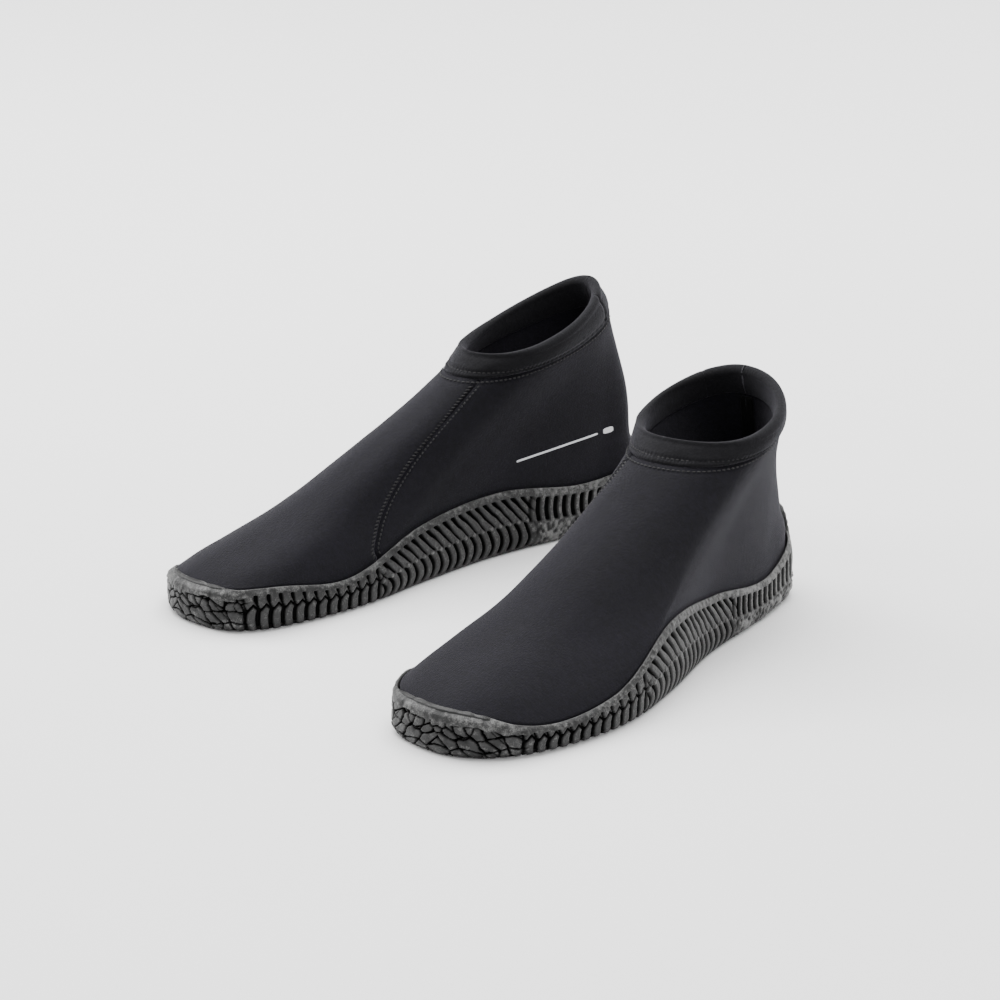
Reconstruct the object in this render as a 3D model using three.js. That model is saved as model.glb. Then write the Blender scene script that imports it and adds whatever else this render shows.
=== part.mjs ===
// A pair of low-cut neoprene water boots standing side by side, heels together and toes apart.
// Millimetres, +Z up, floor at z = 0, toes towards -Y. The boots are mirror images of each
// other except for the soft ankle: each one has relaxed into a collar shape of its own.
//
// Every piece of one boot is drawn for the right foot (inner side of the foot towards +X) and
// then placed. A point of the neoprene upper is found from two numbers: `u` runs once around
// the boot (0 heel, 0.25 inner side, 0.5 toe, 0.75 outer side) and `r` runs up it (-1 bottom
// of the tucked-in skirt, 0 upper edge of the rubber wall, 1 top of the collar).
import * as THREE from 'three';

// ---- overall -------------------------------------------------------------------------------
const SOLE_LENGTH = 290;
const TOE_OUT_ANGLE = 0.1335;         // rad, each boot turned this much from straight ahead
const RIGHT_BOOT_AT = [87.5, -17.85];
const LEFT_BOOT_AT = [-87.5, 16.65];

// How each boot's soft ankle has relaxed: half widths of the collar towards the inner and the
// outer side, how far its sides sag, how far the back and the front of the collar have moved
// ([y, z]), and how far the heel line and the instep line bulge backwards half way up.
const RIGHT_STANCE = {
  inner: 40.3, outer: 33.2, sag: 6.2, back: [-9.8, -7.4], front: [1.8, -4.8], heel: -8, instep: 5.3,
};
const LEFT_STANCE = {
  inner: 26.2, outer: 28.4, sag: 6.9, back: [-4.1, 3.4], front: [-3.3, -1], heel: 2.1, instep: -1,
};

// ---- sole outline: distance from the centre line at stations along the length -----------------
const OUTLINE_STATIONS = [-0.46, -0.36, -0.12, 0.05, 0.2, 0.32, 0.42, 0.475];
const OUTLINE_INNER = [20, 28.5, 36, 47.5, 53.5, 48.6, 37.2, 22.4];
const OUTLINE_OUTER = [27.5, 28, 27.5, 34.5, 43, 44, 39.5, 28];
const TOE_TIP_OFFSET = 2.4;

// ---- rubber wall (rand) --------------------------------------------------------------------
const RAND_STATIONS = [-0.5, -0.36, -0.14, 0.06, 0.25, 0.4, 0.5];
const RAND_TOP_INNER = [35.5, 21.5, 29.7, 36.4, 17.1, 14, 22];
const RAND_TOP_OUTER = [35.5, 28.5, 35.3, 31.5, 17.4, 22.5, 22];
const RAND_THICKNESS = 3.3;
const RAND_BOTTOM = 0.8;

// ---- upper: side profile of the toe-to-collar line and of the heel line -------------------------
const PROFILE_KNOTS = [0, 0.1, 0.2, 0.4, 0.62, 0.8, 0.9, 1];
const FRONT_Y = [-141, -128.5, -112.5, -79.4, -33.7, 10.6, 32, 41];
const FRONT_Z = [22, 27.2, 32.2, 43, 64.5, 86.5, 98.5, 107.5];
const BACK_Y = [141, 142, 140.5, 140, 138.4, 134.6, 131.5, 127.3];
const BACK_Z = [35.5, 42, 49, 66, 82.5, 101, 115.5, 128.4];
const SIDE_FULLNESS = [-5, 1, 3.6];
const NEOPRENE = 4.5;
const UPPER_INSET = 4;

// ---- stacked soles -------------------------------------------------------------------------
const GAP = 0.3;
const PLATE_TOP = 6;
const PLATE_INSET = 4.4;
const LUG_DEPTH = 2.6;
const LUG_PITCH = 13;
const LUG_LENGTH = 8;
const SOCK_THICKNESS = 3;
const FOOTBED_THICKNESS = 3.5;
const FOOTBED_INSET = 10;

// ---- collar, seams and thread ----------------------------------------------------------------
const BINDING_FROM = 0.9;
const BINDING_PROUD = 0.4;
const RIM_ROUND = 2.6;
const THREAD_RADIUS = 0.4;
const STITCH_ROWS = [0.913, 0.876];
const SEAM_FOOT_U = 0.736;
const SEAM_TOP_U = 0.611;
const SEAM_HALF_GAP = 0.4;
const SEAM_STITCH_SPREAD = 1.8;
const TAPE_HALF_WIDTH = 4;
const TAPE_THICKNESS = 0.6;
const TAPE_CLEARANCE = 1.2;
const MARK_SPAN = [54, 121];
const MARK_HEIGHT = [49, 53.7];
const MARK_WIDTH = 3;
const STRAP_STOP_HALF_SPAN = 0.034;
const STRAP_STOP_RISE = 9;

// ---- how finely curves are cut ---------------------------------------------------------------
const AROUND = 36;
const UPPER_ROWS = [-1, -0.5, 0, 0.05, 0.12, 0.22, 0.34, 0.46, 0.58, 0.7, 0.8, 0.89];

const lerp = THREE.MathUtils.lerp;

// Smooth curve through (knots[i], values[i]) with three-point slopes.
function curveAt(knots, values, at) {
  const last = knots.length - 1;
  const x = THREE.MathUtils.clamp(at, knots[0], knots[last]);
  let i = 0;
  while (i < last - 1 && x > knots[i + 1]) i += 1;
  const slope = (k) => {
    const a = Math.max(k - 1, 0);
    const b = Math.min(k + 1, last);
    if (b - a < 2) return (values[b] - values[a]) / (knots[b] - knots[a]);
    const before = (values[k] - values[a]) / (knots[k] - knots[a]);
    const after = (values[b] - values[k]) / (knots[b] - knots[k]);
    return lerp(before, after, (knots[k] - knots[a]) / (knots[b] - knots[a]));
  };
  const width = knots[i + 1] - knots[i];
  const w = (x - knots[i]) / width;
  const start = values[i] * (1 + 2 * w) * (1 - w) ** 2;
  const end = values[i + 1] * w * w * (3 - 2 * w);
  const bend = slope(i) * w * (1 - w) ** 2 - slope(i + 1) * w * w * (1 - w);
  return start + end + bend * width;
}

function outlineCurve() {
  const points = [new THREE.Vector3(0, SOLE_LENGTH / 2, 0)];
  OUTLINE_STATIONS.forEach((station, i) => {
    points.push(new THREE.Vector3(OUTLINE_INNER[i], -station * SOLE_LENGTH, 0));
  });
  points.push(new THREE.Vector3(TOE_TIP_OFFSET, -SOLE_LENGTH / 2, 0));
  for (let i = OUTLINE_STATIONS.length - 1; i >= 0; i -= 1) {
    points.push(new THREE.Vector3(-OUTLINE_OUTER[i], -OUTLINE_STATIONS[i] * SOLE_LENGTH, 0));
  }
  return new THREE.CatmullRomCurve3(points, true, 'centripetal');
}

const OUTLINE = outlineCurve();

// Point of the sole outline, moved inwards by `inset`, at height z.
function outlineAt(u, inset, z) {
  const around = THREE.MathUtils.euclideanModulo(u, 1);
  const point = OUTLINE.getPoint(around);
  const ahead = OUTLINE.getPoint(THREE.MathUtils.euclideanModulo(around + 0.002, 1));
  const behind = OUTLINE.getPoint(THREE.MathUtils.euclideanModulo(around - 0.002, 1));
  const run = ahead.sub(behind).normalize();
  return new THREE.Vector3(point.x + run.y * inset, point.y - run.x * inset, z);
}

function randTop(u) {
  const edge = outlineAt(u, 0, 0);
  const station = -edge.y / SOLE_LENGTH;
  const outerShare = 1 / (1 + Math.exp(edge.x / 4));
  const inner = curveAt(RAND_STATIONS, RAND_TOP_INNER, station);
  const outer = curveAt(RAND_STATIONS, RAND_TOP_OUTER, station);
  return lerp(inner, outer, outerShare);
}

// Outer surface of the neoprene upper.
function upperAt(u, r, stance) {
  const foot = outlineAt(u, UPPER_INSET, randTop(u));
  if (r <= 0) {
    foot.z = lerp(foot.z, PLATE_TOP + GAP, -r);
    return foot;
  }
  const along = THREE.MathUtils.clamp((BACK_Y[0] - foot.y) / (BACK_Y[0] - FRONT_Y[0]), 0, 1);
  const side = Math.sign(0.5 - THREE.MathUtils.euclideanModulo(u, 1));
  const across = side * 2 * Math.sqrt(along * (1 - along));
  const wave = Math.sin(Math.PI * r);
  const backY = curveAt(PROFILE_KNOTS, BACK_Y, r) + stance.back[0] * r * r + stance.heel * wave;
  const backZ = curveAt(PROFILE_KNOTS, BACK_Z, r) + stance.back[1] * r * r;
  const frontY = curveAt(PROFILE_KNOTS, FRONT_Y, r) + stance.front[0] * r * r + stance.instep * wave;
  const frontZ = curveAt(PROFILE_KNOTS, FRONT_Z, r) + stance.front[1] * r * r;
  const fullness = SIDE_FULLNESS[0] * wave + SIDE_FULLNESS[1] * Math.sin(2 * Math.PI * r)
    + SIDE_FULLNESS[2] * wave * (1 - 2 * along);
  const edgeRise = foot.z - lerp(BACK_Z[0], FRONT_Z[0], along);
  const collarX = (across > 0 ? stance.inner : stance.outer) * across;
  return new THREE.Vector3(
    lerp(foot.x, collarX, r) + fullness * across,
    lerp(backY, frontY, along),
    lerp(backZ, frontZ, along) + edgeRise * (1 - r) ** 2 - stance.sag * (across * r) ** 2,
  );
}

// Point at `height` outside (or, negative, inside) the upper's outer surface.
function offUpper(u, r, height, stance) {
  const here = upperAt(u, r, stance);
  const low = upperAt(u, Math.max(r - 0.02, -1), stance);
  const high = upperAt(u, Math.min(r + 0.02, 1), stance);
  const ahead = upperAt(u + 0.006, r, stance);
  const behind = upperAt(u - 0.006, r, stance);
  const normal = high.sub(low).cross(ahead.sub(behind)).normalize();
  return here.addScaledVector(normal, height);
}

// The step in u that is `length` millimetres long around the boot at (u, r).
function stepAround(u, r, length, stance) {
  const ahead = upperAt(u + 0.01, r, stance);
  return length * 0.02 / ahead.distanceTo(upperAt(u - 0.01, r, stance));
}

// Closed body from a row of equal loops. Ring bodies join the last loop to the first; open
// ones are capped by joining point i of an end loop to point (count - 1 - i).
function loftBody(loops, ring) {
  const size = loops[0].length;
  const faces = [];
  const quad = (a, b, c, d) => faces.push(a, b, c, a, c, d);
  const steps = ring ? loops.length : loops.length - 1;
  for (let s = 0; s < steps; s += 1) {
    const here = s * size;
    const next = ((s + 1) % loops.length) * size;
    for (let i = 0; i < size; i += 1) {
      const j = (i + 1) % size;
      quad(here + i, here + j, next + j, next + i);
    }
  }
  if (!ring) {
    const end = (loops.length - 1) * size;
    for (let i = 0; i < size / 2 - 1; i += 1) {
      quad(size - 1 - i, size - 2 - i, i + 1, i);
      quad(end + i, end + i + 1, end + size - 2 - i, end + size - 1 - i);
    }
  }
  return bodyFrom(loops.flat(), faces);
}

// Closed body between a lower and an upper copy of one sole-shaped loop, each fanned to its
// middle.
function slabBody(inset, bottom, top) {
  const lower = [];
  const upper = [];
  for (let i = 0; i < AROUND; i += 1) {
    lower.push(outlineAt(i / AROUND, inset, bottom));
    upper.push(outlineAt(i / AROUND, inset, top));
  }
  const middles = [new THREE.Vector3(0, 0, bottom), new THREE.Vector3(0, 0, top)];
  const faces = [];
  for (let i = 0; i < AROUND; i += 1) {
    const j = (i + 1) % AROUND;
    faces.push(i, j, AROUND + j, i, AROUND + j, AROUND + i);
    faces.push(j, i, 2 * AROUND, AROUND + i, AROUND + j, 2 * AROUND + 1);
  }
  return bodyFrom([...lower, ...upper, ...middles], faces);
}

function signedVolume(points, faces) {
  let volume = 0;
  for (let i = 0; i < faces.length; i += 3) {
    const [a, b, c] = [points[faces[i]], points[faces[i + 1]], points[faces[i + 2]]];
    volume += a.dot(b.clone().cross(c)) / 6;
  }
  return volume;
}

function bodyFrom(points, faces) {
  if (signedVolume(points, faces) < 0) faces.reverse();
  const geometry = new THREE.BufferGeometry().setFromPoints(points);
  geometry.setIndex(faces);
  return geometry;
}

// ---- soles -----------------------------------------------------------------------------------

// Where the inset outline crosses a line across the boot: [inner x, outer x].
function widthAt(y, inset) {
  let inner = 0;
  let outer = 0;
  for (let i = 0; i < AROUND; i += 1) {
    const a = outlineAt(i / AROUND, inset, 0);
    const b = outlineAt((i + 1) / AROUND, inset, 0);
    if ((a.y - y) * (b.y - y) <= 0 && a.y !== b.y) {
      const x = lerp(a.x, b.x, (y - a.y) / (b.y - a.y));
      if (i < AROUND / 2) inner = x;
      else outer = x;
    }
  }
  return [inner, outer];
}

// Tread plate with straight cross lugs; lug faces are the flat ground contact.
function outsole() {
  const reach = SOLE_LENGTH / 2 - PLATE_INSET - 1.2;
  const stations = [[-reach, LUG_DEPTH], [-reach + 3, LUG_DEPTH]];
  const lugs = Math.floor((2 * reach - 14) / LUG_PITCH);
  const first = -(lugs * LUG_PITCH - (LUG_PITCH - LUG_LENGTH)) / 2;
  for (let i = 0; i < lugs; i += 1) {
    const start = first + i * LUG_PITCH;
    stations.push([start - 0.5, LUG_DEPTH], [start, 0]);
    stations.push([start + LUG_LENGTH, 0], [start + LUG_LENGTH + 0.5, LUG_DEPTH]);
  }
  stations.push([reach - 3, LUG_DEPTH], [reach, LUG_DEPTH]);
  const loops = stations.map(([y, bottom]) => {
    const [inner, outer] = widthAt(y, PLATE_INSET);
    return [
      new THREE.Vector3(inner, y, bottom),
      new THREE.Vector3(inner, y, PLATE_TOP),
      new THREE.Vector3(outer, y, PLATE_TOP),
      new THREE.Vector3(outer, y, bottom),
    ];
  });
  return loftBody(loops, false);
}

function rand() {
  const loops = [];
  for (let i = 0; i < AROUND; i += 1) {
    const u = i / AROUND;
    const top = randTop(u);
    const section = [
      [2.2, RAND_BOTTOM], [0.6, 0.12 * top], [0, 0.45 * top], [0.3, 0.8 * top],
      [1.3, top - 0.8], [2.3, top - 0.1], [RAND_THICKNESS, top - 0.4],
      [RAND_THICKNESS, RAND_BOTTOM],
    ];
    loops.push(section.map(([inset, z]) => outlineAt(u, inset, z)));
  }
  return loftBody(loops, true);
}

// Rubber lip standing up behind the heel that keeps a fin strap from sliding down.
function heelStrapStop() {
  const loops = [];
  const steps = 8;
  for (let i = 0; i <= steps; i += 1) {
    const share = lerp(-1, 1, i / steps);
    const u = share * STRAP_STOP_HALF_SPAN;
    const base = randTop(u) + GAP;
    const rise = STRAP_STOP_RISE * (1 - 0.75 * share * share);
    loops.push([
      outlineAt(u, 0.6, base), outlineAt(u, -0.7, base + 0.5 * rise),
      outlineAt(u, -1.4, base + rise), outlineAt(u, -0.2, base + rise),
      outlineAt(u, 1.2, base + 0.5 * rise), outlineAt(u, 2.6, base),
    ]);
  }
  return loftBody(loops, false);
}

function bottomSock() {
  const bottom = PLATE_TOP + GAP;
  return slabBody(UPPER_INSET + NEOPRENE + GAP, bottom, bottom + SOCK_THICKNESS);
}

function footbed() {
  const bottom = PLATE_TOP + 2 * GAP + SOCK_THICKNESS;
  return slabBody(FOOTBED_INSET, bottom, bottom + FOOTBED_THICKNESS);
}

// ---- upper -----------------------------------------------------------------------------------

function seamU(r) {
  return lerp(SEAM_FOOT_U, SEAM_TOP_U, Math.max(r, 0) / BINDING_FROM);
}

// Sheet of neoprene between two lines up the boot, given as functions of r. Its columns stand
// on the same stops around the sole as the rubber wall's, so the two walls stay parallel.
function neoprenePanel(startU, endU, stance) {
  const [first, last] = [startU(0), endU(0)];
  const stops = [first];
  for (let i = Math.ceil(first * AROUND); i < last * AROUND; i += 1) stops.push(i / AROUND);
  stops.push(last);
  const loops = stops.map((stop) => {
    const share = (stop - first) / (last - first);
    const uAt = (r) => lerp(startU(r), endU(r), share);
    const outside = UPPER_ROWS.map((r) => offUpper(uAt(r), r, 0, stance));
    const inside = UPPER_ROWS.map((r) => offUpper(uAt(r), r, -NEOPRENE, stance));
    return [...outside, ...inside.reverse()];
  });
  return loftBody(loops, false);
}

// A line beside the side seam (`from` seamU) or the heel seam (`from` 0 or 1).
function besideSeam(from, length, stance) {
  return (r) => {
    const u = typeof from === 'number' ? from : from(r);
    return u + stepAround(u, r, length, stance);
  };
}

function vampPanel(stance) {
  const start = besideSeam(0, SEAM_HALF_GAP, stance);
  return neoprenePanel(start, besideSeam(seamU, -SEAM_HALF_GAP, stance), stance);
}

function quarterPanel(stance) {
  const start = besideSeam(seamU, SEAM_HALF_GAP, stance);
  return neoprenePanel(start, besideSeam(1, -SEAM_HALF_GAP, stance), stance);
}

function collarBinding(stance) {
  const loops = [];
  const mid = (BINDING_FROM + 1) / 2;
  const inside = -NEOPRENE - BINDING_PROUD;
  for (let i = 0; i < AROUND; i += 1) {
    const u = i / AROUND;
    const at = (r, height) => offUpper(u, r, height, stance);
    const top = at(1, -NEOPRENE / 2);
    top.z += RIM_ROUND;
    loops.push([
      at(BINDING_FROM, BINDING_PROUD), at(mid, BINDING_PROUD), at(1, BINDING_PROUD), top,
      at(1, inside), at(mid, inside), at(BINDING_FROM, inside),
    ]);
  }
  return loftBody(loops, true);
}

function collarStitch(r, height, stance) {
  const loops = [];
  const side = THREAD_RADIUS / 7.5 / 20;
  for (let i = 0; i < AROUND; i += 1) {
    const u = i / AROUND;
    const at = (dr, dh) => offUpper(u, r + dr, height + dh, stance);
    loops.push([at(-side, 0), at(0, THREAD_RADIUS), at(side, 0), at(0, -THREAD_RADIUS)]);
  }
  return loftBody(loops, true);
}

// Thread or tape lying along a line up the boot: r from `from` to `to`, u given by uAt(r).
function strip(uAt, from, to, halfWidth, low, high, stance) {
  const loops = [];
  const steps = 12;
  for (let i = 0; i <= steps; i += 1) {
    const r = lerp(from, to, i / steps);
    const half = stepAround(uAt(r), r, halfWidth, stance);
    loops.push([
      offUpper(uAt(r) - half, r, low, stance),
      offUpper(uAt(r) - half, r, high, stance),
      offUpper(uAt(r) + half, r, high, stance),
      offUpper(uAt(r) + half, r, low, stance),
    ]);
  }
  return loftBody(loops, false);
}

function seamThread(uAt, stance) {
  return strip(uAt, 0.03, 0.85, THREAD_RADIUS, GAP, GAP + 2 * THREAD_RADIUS, stance);
}

function seamTape(uAt, stance) {
  const outer = -NEOPRENE - TAPE_CLEARANCE;
  return strip(uAt, 0.06, 0.88, TAPE_HALF_WIDTH, outer, outer - TAPE_THICKNESS, stance);
}

// The (u, r) on the outer side of the boot where the upper passes the given y and z.
function findOnOuterSide(y, z, stance) {
  let [low, high] = [0.02, 0.85];
  let u = 0.9;
  for (let i = 0; i < 24; i += 1) {
    const r = (low + high) / 2;
    let [front, back] = [0.5, 1];
    for (let j = 0; j < 24; j += 1) {
      u = (front + back) / 2;
      if (upperAt(u, r, stance).y < y) front = u;
      else back = u;
    }
    if (upperAt(u, r, stance).z < z) low = r;
    else high = r;
  }
  return [u, low];
}

// Plain raised dash, thin and rising a little towards the heel, low on the outer side.
function sideMark(stance) {
  const loops = [];
  const steps = 8;
  for (let i = 0; i <= steps; i += 1) {
    const y = lerp(MARK_SPAN[0], MARK_SPAN[1], i / steps);
    const z = lerp(MARK_HEIGHT[0], MARK_HEIGHT[1], i / steps);
    const lower = findOnOuterSide(y, z - MARK_WIDTH / 2, stance);
    const upper = findOnOuterSide(y, z + MARK_WIDTH / 2, stance);
    loops.push([
      offUpper(...lower, GAP, stance), offUpper(...lower, 2 * GAP, stance),
      offUpper(...upper, 2 * GAP, stance), offUpper(...upper, GAP, stance),
    ]);
  }
  return loftBody(loops, false);
}

// ---- assembly --------------------------------------------------------------------------------

function bootPieces(stance) {
  const outside = 2 * GAP + THREAD_RADIUS;
  const seamFront = besideSeam(seamU, -SEAM_STITCH_SPREAD, stance);
  const seamRear = besideSeam(seamU, SEAM_STITCH_SPREAD, stance);
  return [
    ['outsole', outsole(), '#2b2b2c', 0.85],
    ['rand', rand(), '#3a3a3b', 0.6],
    ['heel_strap_stop', heelStrapStop(), '#3f3f40', 0.6],
    ['bottom_sock', bottomSock(), '#141416', 0.95],
    ['footbed', footbed(), '#1b1b1d', 0.95],
    ['vamp_panel', vampPanel(stance), '#232327', 0.9],
    ['quarter_panel', quarterPanel(stance), '#1e1e22', 0.9],
    ['collar_binding', collarBinding(stance), '#27272b', 0.85],
    ['collar_stitch_upper', collarStitch(STITCH_ROWS[0], outside + BINDING_PROUD, stance), '#3b3b40', 0.7],
    ['collar_stitch_lower', collarStitch(STITCH_ROWS[1], outside, stance), '#3b3b40', 0.7],
    ['side_seam_stitch_front', seamThread(seamFront, stance), '#3b3b40', 0.7],
    ['side_seam_stitch_rear', seamThread(seamRear, stance), '#3b3b40', 0.7],
    ['side_seam_tape', seamTape(seamU, stance), '#202024', 0.8],
    ['heel_seam_stitch', seamThread(() => 0, stance), '#3b3b40', 0.7],
    ['heel_seam_tape', seamTape(() => 0, stance), '#202024', 0.8],
    ['side_mark', sideMark(stance), '#c9c9cc', 0.4],
  ];
}

function placeBoot(group, side, stance, [x, y], turn) {
  const mirror = side === 'left';
  const place = new THREE.Matrix4().makeTranslation(x, y, 0)
    .multiply(new THREE.Matrix4().makeRotationZ(turn))
    .multiply(new THREE.Matrix4().makeScale(mirror ? -1 : 1, 1, 1));
  bootPieces(stance).forEach(([name, geometry, color, roughness]) => {
    geometry.applyMatrix4(place);
    if (mirror) geometry.setIndex([...geometry.index.array].reverse());
    geometry.computeVertexNormals();
    const material = new THREE.MeshStandardMaterial({ color, roughness, metalness: 0 });
    const mesh = new THREE.Mesh(geometry, material);
    mesh.name = `${side}_${name}`;
    group.add(mesh);
  });
}

const group = new THREE.Group();
group.name = 'neoprene_boots';
placeBoot(group, 'right', RIGHT_STANCE, RIGHT_BOOT_AT, TOE_OUT_ANGLE);
placeBoot(group, 'left', LEFT_STANCE, LEFT_BOOT_AT, -TOE_OUT_ANGLE);

export default group;
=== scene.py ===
"""A pair of low-cut neoprene water boots with moulded rubber soles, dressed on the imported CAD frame.

Every piece of one boot is drawn in millimetres for the right foot (inner side towards +X, toe
towards -Y) and then placed. A point of the neoprene upper comes from `u`, once around the boot
(0 heel, 0.25 inner side, 0.5 toe, 0.75 outer side), and `r`, up the boot (-1 bottom of the
tucked-in skirt, 0 upper edge of the rubber wall, 1 top of the collar).
"""
import math

import bpy
import numpy as np
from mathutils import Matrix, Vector


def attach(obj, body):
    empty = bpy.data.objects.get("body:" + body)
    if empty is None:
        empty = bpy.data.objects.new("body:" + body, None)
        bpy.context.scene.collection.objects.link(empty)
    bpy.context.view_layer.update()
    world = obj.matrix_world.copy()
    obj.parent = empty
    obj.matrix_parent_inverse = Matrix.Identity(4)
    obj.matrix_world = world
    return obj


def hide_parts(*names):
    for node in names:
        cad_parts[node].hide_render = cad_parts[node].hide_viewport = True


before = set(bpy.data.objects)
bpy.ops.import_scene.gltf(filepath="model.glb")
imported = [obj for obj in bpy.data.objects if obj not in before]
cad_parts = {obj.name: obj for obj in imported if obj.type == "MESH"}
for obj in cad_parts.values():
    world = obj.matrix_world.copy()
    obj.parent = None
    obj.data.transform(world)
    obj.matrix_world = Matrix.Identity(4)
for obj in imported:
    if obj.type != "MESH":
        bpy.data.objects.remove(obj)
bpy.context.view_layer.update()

MM = 0.001

# ---- sizes shared with the CAD part ----------------------------------------------------------
SOLE_LENGTH = 290.0
TOE_OUT_ANGLE = 0.1335
OUTLINE_STATIONS = [-0.46, -0.36, -0.12, 0.05, 0.2, 0.32, 0.42, 0.475]
OUTLINE_INNER = [20, 28.5, 36, 47.5, 53.5, 48.6, 37.2, 22.4]
OUTLINE_OUTER = [27.5, 28, 27.5, 34.5, 43, 44, 39.5, 28]
TOE_TIP_OFFSET = 2.4
RAND_STATIONS = [-0.5, -0.36, -0.14, 0.06, 0.25, 0.4, 0.5]
RAND_TOP_INNER = [35.5, 21.5, 29.7, 36.4, 17.1, 14, 22]
RAND_TOP_OUTER = [35.5, 28.5, 35.3, 31.5, 17.4, 22.5, 22]
RAND_THICKNESS = 3.3
RAND_BOTTOM = 0.8
PROFILE_KNOTS = [0, 0.1, 0.2, 0.4, 0.62, 0.8, 0.9, 1]
FRONT_Y = [-141, -128.5, -112.5, -79.4, -33.7, 10.6, 32, 41]
FRONT_Z = [22, 27.2, 32.2, 43, 64.5, 86.5, 98.5, 107.5]
BACK_Y = [141, 142, 140.5, 140, 138.4, 134.6, 131.5, 127.3]
BACK_Z = [35.5, 42, 49, 66, 82.5, 101, 115.5, 128.4]
SIDE_FULLNESS = [-5, 1, 3.6]
NEOPRENE = 4.5
UPPER_INSET = 4.0
GAP = 0.3
PLATE_TOP = 6.0
PLATE_INSET = 4.4
LUG_DEPTH = 2.6
SOCK_THICKNESS = 3.0
FOOTBED_THICKNESS = 3.5
FOOTBED_INSET = 10.0
BINDING_FROM = 0.9
RIM_ROUND = 2.6
SEAM_FOOT_U = 0.736
SEAM_TOP_U = 0.611

# How each soft ankle has relaxed, as in the CAD part.
RIGHT_STANCE = {"inner": 40.3, "outer": 33.2, "sag": 6.2, "back": (-9.8, -7.4),
                "front": (1.8, -4.8), "heel": -8.0, "instep": 5.3}
LEFT_STANCE = {"inner": 26.2, "outer": 28.4, "sag": 6.9, "back": (-4.1, 3.4),
               "front": (-3.3, -1.0), "heel": 2.1, "instep": -1.0}
BOOTS = {
    "right": {"stance": RIGHT_STANCE, "at": (87.5, -17.85), "turn": TOE_OUT_ANGLE, "mirror": 1},
    "left": {"stance": LEFT_STANCE, "at": (-87.5, 16.65), "turn": -TOE_OUT_ANGLE, "mirror": -1},
}


# ---- small maths -----------------------------------------------------------------------------
def smoothstep(low, high, x):
    t = np.clip((x - low) / (high - low), 0, 1)
    return t * t * (3 - 2 * t)


def curve_at(knots, values, at):
    """Smooth curve through (knots, values) with three-point slopes."""
    k = np.asarray(knots, float)
    v = np.asarray(values, float)
    step = np.diff(v) / np.diff(k)
    slope = np.empty(len(k))
    slope[0] = step[0]
    slope[-1] = step[-1]
    share = (k[1:-1] - k[:-2]) / (k[2:] - k[:-2])
    slope[1:-1] = step[:-1] + (step[1:] - step[:-1]) * share
    x = np.clip(at, k[0], k[-1])
    i = np.clip(np.searchsorted(k, x, side="right") - 1, 0, len(k) - 2)
    width = k[i + 1] - k[i]
    w = (x - k[i]) / width
    ends = v[i] * (1 + 2 * w) * (1 - w) ** 2 + v[i + 1] * w * w * (3 - 2 * w)
    bend = slope[i] * w * (1 - w) ** 2 - slope[i + 1] * w * w * (1 - w)
    return ends + bend * width


def outline_points():
    points = [(0.0, SOLE_LENGTH / 2)]
    points += [(x, -s * SOLE_LENGTH) for s, x in zip(OUTLINE_STATIONS, OUTLINE_INNER)]
    points += [(TOE_TIP_OFFSET, -SOLE_LENGTH / 2)]
    outer = list(zip(OUTLINE_STATIONS, OUTLINE_OUTER))[::-1]
    points += [(-x, -s * SOLE_LENGTH) for s, x in outer]
    return np.array(points)


OUTLINE = outline_points()


def outline_curve(u):
    """Closed centripetal Catmull-Rom curve through the outline's points."""
    count = len(OUTLINE)
    p = (np.asarray(u, float) % 1.0) * count
    i = np.floor(p).astype(int) % count
    w = (p - np.floor(p))[..., None]
    p0, p1 = OUTLINE[(i - 1) % count], OUTLINE[i]
    p2, p3 = OUTLINE[(i + 1) % count], OUTLINE[(i + 2) % count]
    d0, d1, d2 = [np.sqrt(np.linalg.norm(b - a, axis=-1, keepdims=True))
                  for a, b in ((p0, p1), (p1, p2), (p2, p3))]
    t1 = ((p1 - p0) / d0 - (p2 - p0) / (d0 + d1) + (p2 - p1) / d1) * d1
    t2 = ((p2 - p1) / d1 - (p3 - p1) / (d1 + d2) + (p3 - p2) / d2) * d1
    c2 = -3 * p1 + 3 * p2 - 2 * t1 - t2
    c3 = 2 * p1 - 2 * p2 + t1 + t2
    return p1 + t1 * w + c2 * w ** 2 + c3 * w ** 3


def outline_at(u, inset, z):
    """Points at height z, moved in from the sole outline by inset."""
    point = outline_curve(u)
    run = outline_curve(np.asarray(u) + 0.002) - outline_curve(np.asarray(u) - 0.002)
    run = run / np.linalg.norm(run, axis=-1, keepdims=True)
    x = point[..., 0] + run[..., 1] * inset
    y = point[..., 1] - run[..., 0] * inset
    return np.stack([x, y, np.broadcast_to(z, x.shape)], -1)


def rand_top(u):
    """Height of the rubber wall's upper edge."""
    edge = outline_curve(u)
    station = -edge[..., 1] / SOLE_LENGTH
    outer_share = 1 / (1 + np.exp(edge[..., 0] / 4))
    inner = curve_at(RAND_STATIONS, RAND_TOP_INNER, station)
    outer = curve_at(RAND_STATIONS, RAND_TOP_OUTER, station)
    return inner + (outer - inner) * outer_share


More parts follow.
